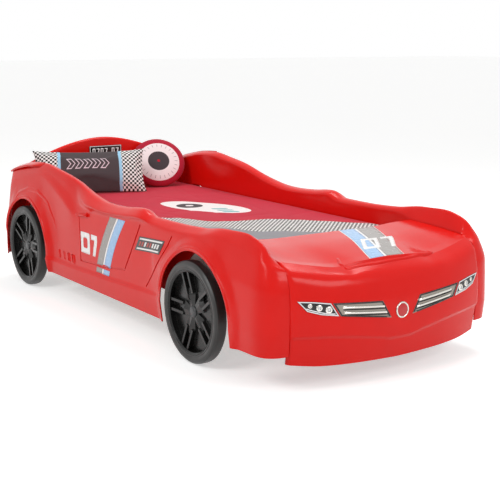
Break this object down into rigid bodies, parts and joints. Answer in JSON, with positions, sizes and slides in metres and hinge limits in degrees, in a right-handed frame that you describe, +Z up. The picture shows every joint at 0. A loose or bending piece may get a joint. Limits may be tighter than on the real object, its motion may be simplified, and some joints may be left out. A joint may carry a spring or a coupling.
{
  "type": "car bed",
  "caption": "Children's bed with a race-car body: plastic side, nose and tail shells round a slatted frame and mattress, turning spoked wheels, bedspread, pillow and round cushion.",
  "frame": {"origin": "on the floor, under the centre of the bed's plan", "axes": "+X towards the nose at the foot end, +Y to the side on the left of someone lying with the head at the headboard, +Z up"},
  "size_m": [2.5121, 1.112, 0.7086],
  "materials": {
    "red_shell": "glossy",
    "red_lip": "glossy",
    "black_trim": "glossy",
    "lamp_face": "glossy",
    "grille_face": "satin",
    "badge_face": "polished",
    "plate_face": "satin",
    "tyre": "matt",
    "rim_face": "satin",
    "cap_face": "satin",
    "axle_plastic": "satin",
    "screw_steel": "zinc plated",
    "frame_board": "melamine coated",
    "slat_birch": "clear lacquer",
    "holder_plastic": "matt",
    "foot_plastic": "matt",
    "mattress_cloth": "quilted knit",
    "bedspread_cloth": "printed cotton",
    "pillow_cloth": "printed cotton",
    "cushion_cloth": "printed plush"
  },
  "bodies": {
    "bed": {"axle_front_left": "axle_plastic", "axle_front_right": "axle_plastic", "axle_rear_left": "axle_plastic", "axle_rear_right": "axle_plastic", "axle_screw_front_left": "screw_steel", "axle_screw_front_right": "screw_steel", "axle_screw_rear_left": "screw_steel", "axle_screw_rear_right": "screw_steel", "bedspread": "bedspread_cloth", "centre_beam": "frame_board", "centre_legs": "frame_board", "corner_legs": "frame_board", "feet": "foot_plastic", "foot_rail": "frame_board", "grille_left": "grille_face", "grille_right": "grille_face", "head_rail": "frame_board", "headlamp_left": "lamp_face", "headlamp_right": "lamp_face", "left_side_shell": "red_shell", "mattress": "mattress_cloth", "nose_badge": "badge_face", "nose_shell": "red_shell", "nose_stays": "frame_board", "number_plate": "plate_face", "pillow": "pillow_cloth", "right_side_shell": "red_shell", "round_cushion": "cushion_cloth", "shell_screws_left": "screw_steel", "shell_screws_right": "screw_steel", "side_plate_left": "black_trim", "side_plate_right": "black_trim", "side_rail_left": "frame_board", "side_rail_right": "frame_board", "side_stays_left": "frame_board", "side_stays_right": "frame_board", "slat_holders_left": "holder_plastic", "slat_holders_right": "holder_plastic", "slats": "slat_birch", "spoiler_centre": "red_lip", "spoiler_left": "red_lip", "spoiler_right": "red_lip", "tail_shell": "red_shell"},
    "wheel_front_left": {"tyre_front_left": "tyre", "rim_front_left": "rim_face", "hub_cap_front_left": "cap_face"},
    "wheel_front_right": {"tyre_front_right": "tyre", "rim_front_right": "rim_face", "hub_cap_front_right": "cap_face"},
    "wheel_rear_left": {"tyre_rear_left": "tyre", "rim_rear_left": "rim_face", "hub_cap_rear_left": "cap_face"},
    "wheel_rear_right": {"tyre_rear_right": "tyre", "rim_rear_right": "rim_face", "hub_cap_rear_right": "cap_face"}
  },
  "joints": [
    {"name": "wheel_front_left_spin", "type": "hinge", "parent": "bed", "child": "wheel_front_left", "pos_m": [0.661, 0.523, 0.202], "axis": [0, 1, 0], "continuous": true},
    {"name": "wheel_front_right_spin", "type": "hinge", "parent": "bed", "child": "wheel_front_right", "pos_m": [0.661, -0.523, 0.202], "axis": [0, 1, 0], "continuous": true},
    {"name": "wheel_rear_left_spin", "type": "hinge", "parent": "bed", "child": "wheel_rear_left", "pos_m": [-0.971, 0.523, 0.202], "axis": [0, 1, 0], "continuous": true},
    {"name": "wheel_rear_right_spin", "type": "hinge", "parent": "bed", "child": "wheel_rear_right", "pos_m": [-0.971, -0.523, 0.202], "axis": [0, 1, 0], "continuous": true}
  ]
}
